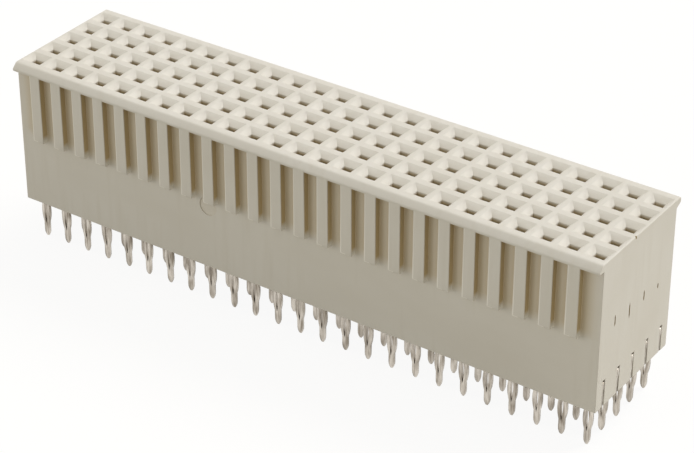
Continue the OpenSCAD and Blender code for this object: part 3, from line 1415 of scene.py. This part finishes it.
@dataclass
class ContactColumn:
    """The stamped and folded contacts, made once and repeated along each column.

    Attributes:
        layout: The contact grid.
        cavity_top: Height of the cavities' ceiling.
        stock: Thickness of the sheet.
        plate: Width of the base plate.
        plate_top: Height of the base plate's and the side walls' upper end.
        shoulder: Width of the shoulder.
        shoulder_top: Height of the shoulder's upper edge.
        shoulder_height: Height of the shoulder.
        shoulder_taper: Height over which the shoulder narrows to the stem.
        stem: Width of the stem between the shoulder and the board.
        neck: Width of the neck between the stem and the eye.
        eye_outer: Width across the eye's legs, and the length over which they bow out.
        eye: Width and length of the eye.
        eye_drop: Depth of the eye's middle.
        lead: Width of the straight lead-in.
        lead_end: Width of the lead-in's blunt end.
        lead_taper: Length over which the lead-in tapers.
        lead_power: How late in that length it tapers.
        lead_levels: Shares of that length at which its outline has points.
        lead_flatness: Thickness of the blunt end, as a share of its width.
        wall_depth: Depth of the folded side walls, from the plate's front.
        wall_height: Height of the folded side walls.
        beam: Thickness of a beam.
        beam_foot: Length of a beam's straight foot.
        grip_gap: Gap between the beams at the grip.
        grip_drop: Distance from the cavity's ceiling down to the grip.
        tip_clearance: Free space between the beams' ends and the cavity's ceiling.
        tip_flare: How far a beam's end flares out above the grip.
        beam_bend: Length of the rounded bends in a beam.
        bend_steps: Number of stretches in each bend.
        beam_end: Depth of a beam's end, as a share of the wall's.
        edge: Width of the stamped edges' bevel.
        crease: Angle from which an edge is bevelled and shaded as a crisp one.
        lean: How far a tail may lean, for each unit of its length.
        tail_levels: Number of stretches down the tail and down the eye.
    """

    layout: Layout
    cavity_top: float
    stock: float = 0.3 * MM
    plate: float = 1.2 * MM
    plate_top: float = 4.6 * MM
    shoulder: float = 1.98 * MM
    shoulder_top: float = 2.0 * MM
    shoulder_height: float = 0.55 * MM
    shoulder_taper: float = 0.15 * MM
    stem: float = 1.93 * MM
    neck: float = 0.44 * MM
    eye_outer: Pair = (0.74 * MM, 3.0 * MM)
    eye: Pair = (0.22 * MM, 2.2 * MM)
    eye_drop: float = 1.25 * MM
    lead: float = 0.44 * MM
    lead_end: float = 0.14 * MM
    lead_taper: float = 0.6 * MM
    lead_power: float = 2.5
    lead_levels: tuple[float, ...] = (0.35, 0.7, 0.92, 1.0)
    lead_flatness: float = 0.8
    wall_depth: float = 0.66 * MM
    wall_height: float = 1.8 * MM
    beam: float = 0.2 * MM
    beam_foot: float = 1.6 * MM
    grip_gap: float = 0.36 * MM
    grip_drop: float = 1.7 * MM
    tip_clearance: float = 0.35 * MM
    tip_flare: float = 0.2 * MM
    beam_bend: float = 0.5 * MM
    bend_steps: int = 4
    beam_end: float = 0.7
    edge: float = 0.03 * MM
    crease: float = math.radians(50)
    lean: float = 0.012
    tail_levels: int = 22

    @property
    def grip_z(self) -> float:
        """Height at which the beams grip the mating pin."""
        return self.cavity_top - self.grip_drop

    @property
    def beam_tip_z(self) -> float:
        """Height of the beams' ends."""
        return self.cavity_top - self.tip_clearance

    @staticmethod
    def bow(size: Pair, offset: float) -> float:
        """Half width of a pointed oval that two arcs cut out.

        Args:
            size: Its width and length.
            offset: Distance from its middle along its length.

        Returns:
            Half its width there, or zero past its ends.
        """
        width, length = size
        radius = (length * length + width * width) / (4 * width)
        return max(0.0, math.sqrt(max(0.0, radius * radius - offset * offset)) - radius + width / 2)

    def tail(self) -> list[Point]:
        """Lists the levels of the tail, from the board surface down.

        Returns:
            Height, half width and half thickness of each level.
        """
        bottom = self.layout.tip
        taper_start = bottom + self.lead_taper
        levels = []
        for step in range(self.tail_levels + 1):
            z = taper_start * step / self.tail_levels
            offset = z + self.eye_drop
            straight = self.neck if offset > 0 else self.lead
            levels.append((z, max(self.bow(self.eye_outer, offset), straight / 2), self.stock / 2))
        blunt = self.lead_end * self.lead_flatness
        for share in self.lead_levels:
            ease = 1 - share ** self.lead_power
            width = self.lead_end + (self.lead - self.lead_end) * ease
            thick = blunt + (self.stock - blunt) * ease
            levels.append((taper_start - self.lead_taper * share, width / 2, thick / 2))
        return levels

    def blank(self) -> bpy.types.Mesh:
        """Models the flat stamping: base plate, shoulder, stem and tail, without the eye.

        Returns:
            The closed mesh.
        """
        half = self.stock / 2
        ledge = self.shoulder_top - self.shoulder_height
        levels = [
            (self.plate_top, self.plate / 2, half), (self.shoulder_top, self.plate / 2, half),
            (self.shoulder_top, self.shoulder / 2, half), (ledge, self.shoulder / 2, half),
            (ledge - self.shoulder_taper, self.stem / 2, half), (0.0, self.stem / 2, half), *self.tail(),
        ]
        shell = Shell()
        last = len(levels) - 1
        for number, (upper, lower) in enumerate(pairwise(levels)):
            (top, wide, thick), (bottom, narrow, thin) = upper, lower
            for side in (-1, 1):
                shell.face([(side * wide, -thick, top), (side * narrow, -thin, bottom),
                            (side * narrow, thin, bottom), (side * wide, thick, top)])
            if top == bottom:
                continue
            upper_row = self.row(upper, levels[max(0, number - 1)])
            lower_row = self.row(lower, levels[min(last, number + 2)])
            for face in (-1, 1):
                shell.face([(x, face * thick, top) for x in upper_row]
                           + [(x, face * thin, bottom) for x in reversed(lower_row)])
        for z, wide, thick in (levels[0], levels[-1]):
            shell.face([(-wide, -thick, z), (wide, -thick, z), (wide, thick, z), (-wide, thick, z)])
        return shell.finished("blank", closed=True)

    @staticmethod
    def row(level: Point, neighbour: Point) -> list[float]:
        """Lists the points of a level, with those of a narrower neighbour at the same height.

        Args:
            level: The level.
            neighbour: The level above or below it.

        Returns:
            X of the points, from left to right.
        """
        z, wide, _ = level
        other_z, narrow, _ = neighbour
        half = [wide] + [narrow] * (other_z == z and narrow < wide)
        return [-x for x in half] + half[::-1]

    def eye_core(self) -> bpy.types.Mesh:
        """Models what the eye takes out of the tail.

        Returns:
            The closed mesh.
        """
        shell = Shell()
        long, count = self.eye[1] / 2, self.tail_levels
        right = []
        for step in range(count + 1):
            offset = long - 2 * long * step / count
            right.append((self.bow(self.eye, offset), offset - self.eye_drop))
        outline = right + [(-x, z) for x, z in reversed(right[1:-1])]
        front, back = ([(x, y, z) for x, z in outline] for y in (-self.stock, self.stock))
        shell.prism(front, back)
        return shell.finished("eye_core", closed=True)

    def beam_path(self) -> list[tuple[Vector, float]]:
        """Finds the middle line of the right side wall and beam.

        Returns:
            Its points in X and Z, with the depth across it at each of them.
        """
        foot = (self.plate - self.beam) / 2
        grip = (self.grip_gap + self.beam) / 2
        corners = [
            Vector((foot, self.plate_top - self.wall_height)),
            Vector((foot, self.plate_top + self.beam_foot)),
            Vector((grip, self.grip_z)),
            Vector((grip + self.tip_flare, self.beam_tip_z)),
        ]
        path = [corners[0]]
        for before, corner, after in zip(corners, corners[1:], corners[2:]):
            start = corner + (before - corner).normalized() * self.beam_bend
            end = corner + (after - corner).normalized() * self.beam_bend
            for step in range(self.bend_steps + 1):
                share = step / self.bend_steps
                path.append(start.lerp(corner, share).lerp(corner.lerp(end, share), share))
        path.append(corners[-1])
        narrowest = self.wall_depth * self.beam_end
        reach = self.beam_tip_z - self.plate_top
        depths = [
            self.wall_depth - (self.wall_depth - narrowest) * max(0.0, point.y - self.plate_top) / reach
            for point in path
        ]
        return list(zip(path, depths))

    def spring(self, side: int) -> bpy.types.Mesh:
        """Models one folded side wall with its spring beam.

        Args:
            side: -1 for the left and 1 for the right.

        Returns:
            The closed mesh.
        """
        shell = Shell()
        path = self.beam_path()
        middle = (self.wall_depth - self.stock) / 2
        sections = []
        for number, (point, depth) in enumerate(path):
            ahead = path[min(number + 1, len(path) - 1)][0] - path[max(number - 1, 0)][0]
            across = Vector((ahead.y, -ahead.x)).normalized() * self.beam / 2
            inner, outer = point - across, point + across
            front, back = middle - depth / 2, middle + depth / 2
            sections.append([
                (side * inner.x, front, inner.y), (side * outer.x, front, outer.y),
                (side * outer.x, back, outer.y), (side * inner.x, back, inner.y),
            ])
        for lower, upper in pairwise(sections):
            shell.wall(lower, upper)
        shell.face(sections[0])
        shell.face(sections[-1])
        return shell.finished("spring", closed=True)

    def contact(self) -> bpy.types.Mesh:
        """Joins the stamping and its two springs, bevels the edges and cuts the eye.

        Returns:
            The closed mesh of one contact.
        """
        piece = show("contact", self.blank())
        springs = [show(f"spring_{side}", self.spring(side)) for side in (-1, 1)]
        eye_core = show("eye_core", self.eye_core())
        for spring in springs:
            combine(piece, spring, "UNION")
        bevel = piece.modifiers.new("edges", "BEVEL")
        bevel.limit_method = "ANGLE"
        bevel.angle_limit = self.crease
        bevel.width = self.edge
        bevel.segments = 1
        bevel.use_clamp_overlap = False
        combine(piece, eye_core, "DIFFERENCE")
        settle(piece)
        for part in (*springs, eye_core):
            discard(part)
        return discard(piece)

    def build(self, tree: RepeatTree, finish: PlatedContact) -> list[bpy.types.Object]:
        """Builds and dresses every column of contacts.

        Args:
            tree: The tree that repeats tiles.
            finish: The plating.

        Returns:
            The finished pieces, from left to right.
        """
        material = finish.build()
        contact = self.contact()
        layout = self.layout
        pieces = []
        for column, node in enumerate(layout.contact_nodes):
            piece = show(f"contact_column_{column + 1:02d}", contact.copy())
            repeat = Repeat(
                rows=layout.rows, pitch_y=layout.pitch, start_x=layout.column_x(column),
                lean=self.lean, seed=column, merge=0.0,
            )
            tree.apply(piece, repeat, material)
            smooth(piece)
            piece.data.set_sharp_from_angle(angle=self.crease)
            weigh_normals(piece)
            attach(piece, ROOT_BODY)
            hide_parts(node)
            pieces.append(piece)
        LOG.info("%d contact columns of %d faces", len(pieces), len(pieces[0].data.polygons))
        return pieces


@dataclass(frozen=True)
class Lamp:
    """A broad soft light from far away.

    Attributes:
        name: What it is called.
        direction: Direction towards it.
        strength: Its strength.
        angle: Its apparent size.
        colour: Its colour.
    """

    name: str
    direction: Point
    strength: float
    angle: float
    colour: Point = (1.0, 1.0, 1.0)

    def hang(self) -> None:
        """Adds the light to the scene."""
        data = bpy.data.lights.new(self.name, "SUN")
        data.energy = self.strength
        data.angle = self.angle
        data.color = self.colour
        lamp = bpy.data.objects.new(self.name, data)
        bpy.context.scene.collection.objects.link(lamp)
        lamp.rotation_mode = "QUATERNION"
        lamp.rotation_quaternion = Vector(self.direction).to_track_quat("Z", "Y")


@dataclass(frozen=True)
class Studio:
    """A pale floor, a white surround and three broad soft lights.

    Attributes:
        floor_z: Height of the floor.
        floor_size: Length of the floor's sides.
        floor_tone: Colour of the floor, which lights the object from below as much as the surround does.
        floor_roughness: Roughness of the floor.
        floor_glow: Share of the floor that the camera sees as plain white.
        glow_strength: Strength of that white, which makes up for the grey share.
        surround: Strength of the surround's light on the object.
        surround_tone: Colour of that light.
        lamps: The key light from above the back right corner, the fill light from the front left, and a low
            light that brightens the right end.
    """

    floor_z: float
    floor_size: float = 4.0
    floor_tone: Colour = tone(176, 172, 160)
    floor_roughness: float = 0.9
    floor_glow: float = 0.8
    glow_strength: float = 1.15
    surround: float = 0.47
    surround_tone: Colour = (1.0, 0.985, 0.92, 1.0)
    lamps: tuple[Lamp, ...] = (
        Lamp("key", (0.242, 0.526, 0.815), 1.83, math.radians(30), (0.985, 0.99, 1.03)),
        Lamp("fill", (-0.69, -0.69, 0.2), 0.7, math.radians(40)),
        Lamp("side", (1.0, 0.4, 0.1), 0.86, math.radians(20)),
    )

    def build_floor(self) -> None:
        """Lays the floor, which keeps a part of the object's shadow and is clear from below."""
        shell = Shell()
        half = self.floor_size / 2
        shell.face([(-half, -half, self.floor_z), (half, -half, self.floor_z),
                    (half, half, self.floor_z), (-half, half, self.floor_z)])
        floor = show("floor", shell.finished("floor"))
        palette = Palette("floor")
        palette.set("Base Color", self.floor_tone)
        palette.set("Roughness", self.floor_roughness)
        palette.set("Specular IOR Level", 0.0)
        glow = palette.add("ShaderNodeEmission", {"Color": WHITE, "Strength": self.glow_strength}).outputs[0]
        share = palette.maths("MULTIPLY", palette.seen(), self.floor_glow)
        lit = palette.add("ShaderNodeMixShader", {0: share, 1: palette.shader.outputs[0], 2: glow}).outputs[0]
        clear = palette.add("ShaderNodeBsdfTransparent", {}).outputs[0]
        behind = palette.add("ShaderNodeNewGeometry", {}).outputs["Backfacing"]
        surface = palette.add("ShaderNodeMixShader", {0: behind, 1: lit, 2: clear}).outputs[0]
        palette.join(surface, palette.nodes["Material Output"].inputs["Surface"])
        floor.data.materials.append(palette.material)

    def build_surround(self) -> None:
        """Sets the surround, which looks plain white and lights the object a little less."""
        world = bpy.data.worlds.new("surround")
        bpy.context.scene.world = world
        world.use_nodes = True
        sky = NodeGraph(world.node_tree)
        light = sky.nodes["Background"]
        light.inputs["Color"].default_value = self.surround_tone
        light.inputs["Strength"].default_value = self.surround
        white = sky.add("ShaderNodeBackground", {"Color": WHITE}).outputs[0]
        either = sky.add("ShaderNodeMixShader", {0: sky.seen(), 1: light.outputs[0], 2: white}).outputs[0]
        sky.join(either, sky.nodes["World Output"].inputs["Surface"])

    def build(self) -> None:
        """Builds the floor, the surround and the lights, and sets plain colour handling."""
        self.build_floor()
        self.build_surround()
        for lamp in self.lamps:
            lamp.hang()
        bpy.context.scene.view_settings.view_transform = "Standard"
        LOG.info("studio: floor at %.2f mm", self.floor_z / MM)


@dataclass(frozen=True)
class Viewpoint:
    """The photograph's camera.

    Attributes:
        place: Where it stands.
        azimuth: Its angle round the object, from the front towards the right end, in degrees.
        elevation: Its angle above the horizon, in degrees.
        roll: Its turn about its own axis, in degrees.
        focal_pixels: Focal length in pixels of the photograph.
        frame_width: Width of the photograph in pixels.
        sensor: Width of the sensor in millimetres.
        clip_start: Distance from which the camera sees.
    """

    place: Point = (87.754 * MM, -125.938 * MM, 97.365 * MM)
    azimuth: float = 34.45
    elevation: float = 31.43
    roll: float = 0.08
    focal_pixels: float = 2474.96
    frame_width: int = 694
    sensor: float = 36.0
    clip_start: float = 1 * MM

    def build(self) -> None:
        """Sets up the camera and makes it the scene's own."""
        data = bpy.data.cameras.new("viewpoint")
        data.sensor_width = self.sensor
        data.lens = self.focal_pixels / self.frame_width * self.sensor
        data.clip_start = self.clip_start
        camera = bpy.data.objects.new("viewpoint", data)
        bpy.context.scene.collection.objects.link(camera)
        turn, rise = math.radians(self.azimuth), math.radians(self.elevation)
        back = Vector((math.sin(turn) * math.cos(rise), -math.cos(turn) * math.cos(rise), math.sin(rise)))
        aim = (-back).to_track_quat("-Z", "Y").to_matrix().to_4x4()
        rolled = aim @ Matrix.Rotation(math.radians(self.roll), 4, "Z")
        camera.matrix_world = Matrix.Translation(Vector(self.place)) @ rolled
        bpy.context.scene.camera = camera


def main() -> None:
    """Builds the dressed connector, its studio and its camera."""
    logging.basicConfig(level=logging.INFO, format="%(name)s: %(message)s")
    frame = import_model()
    layout = Layout.from_frame(frame["nodes"])
    LOG.info("%d columns of %d contacts", layout.columns, layout.rows)
    Viewpoint().build()
    tree = RepeatTree()
    housing = Housing(layout)
    housing.build(tree, MouldedPlastic())
    ContactColumn(layout, housing.cavity_top).build(tree, PlatedContact())
    Studio(floor_z=layout.tip).build()


if __name__ == "__main__":
    main()
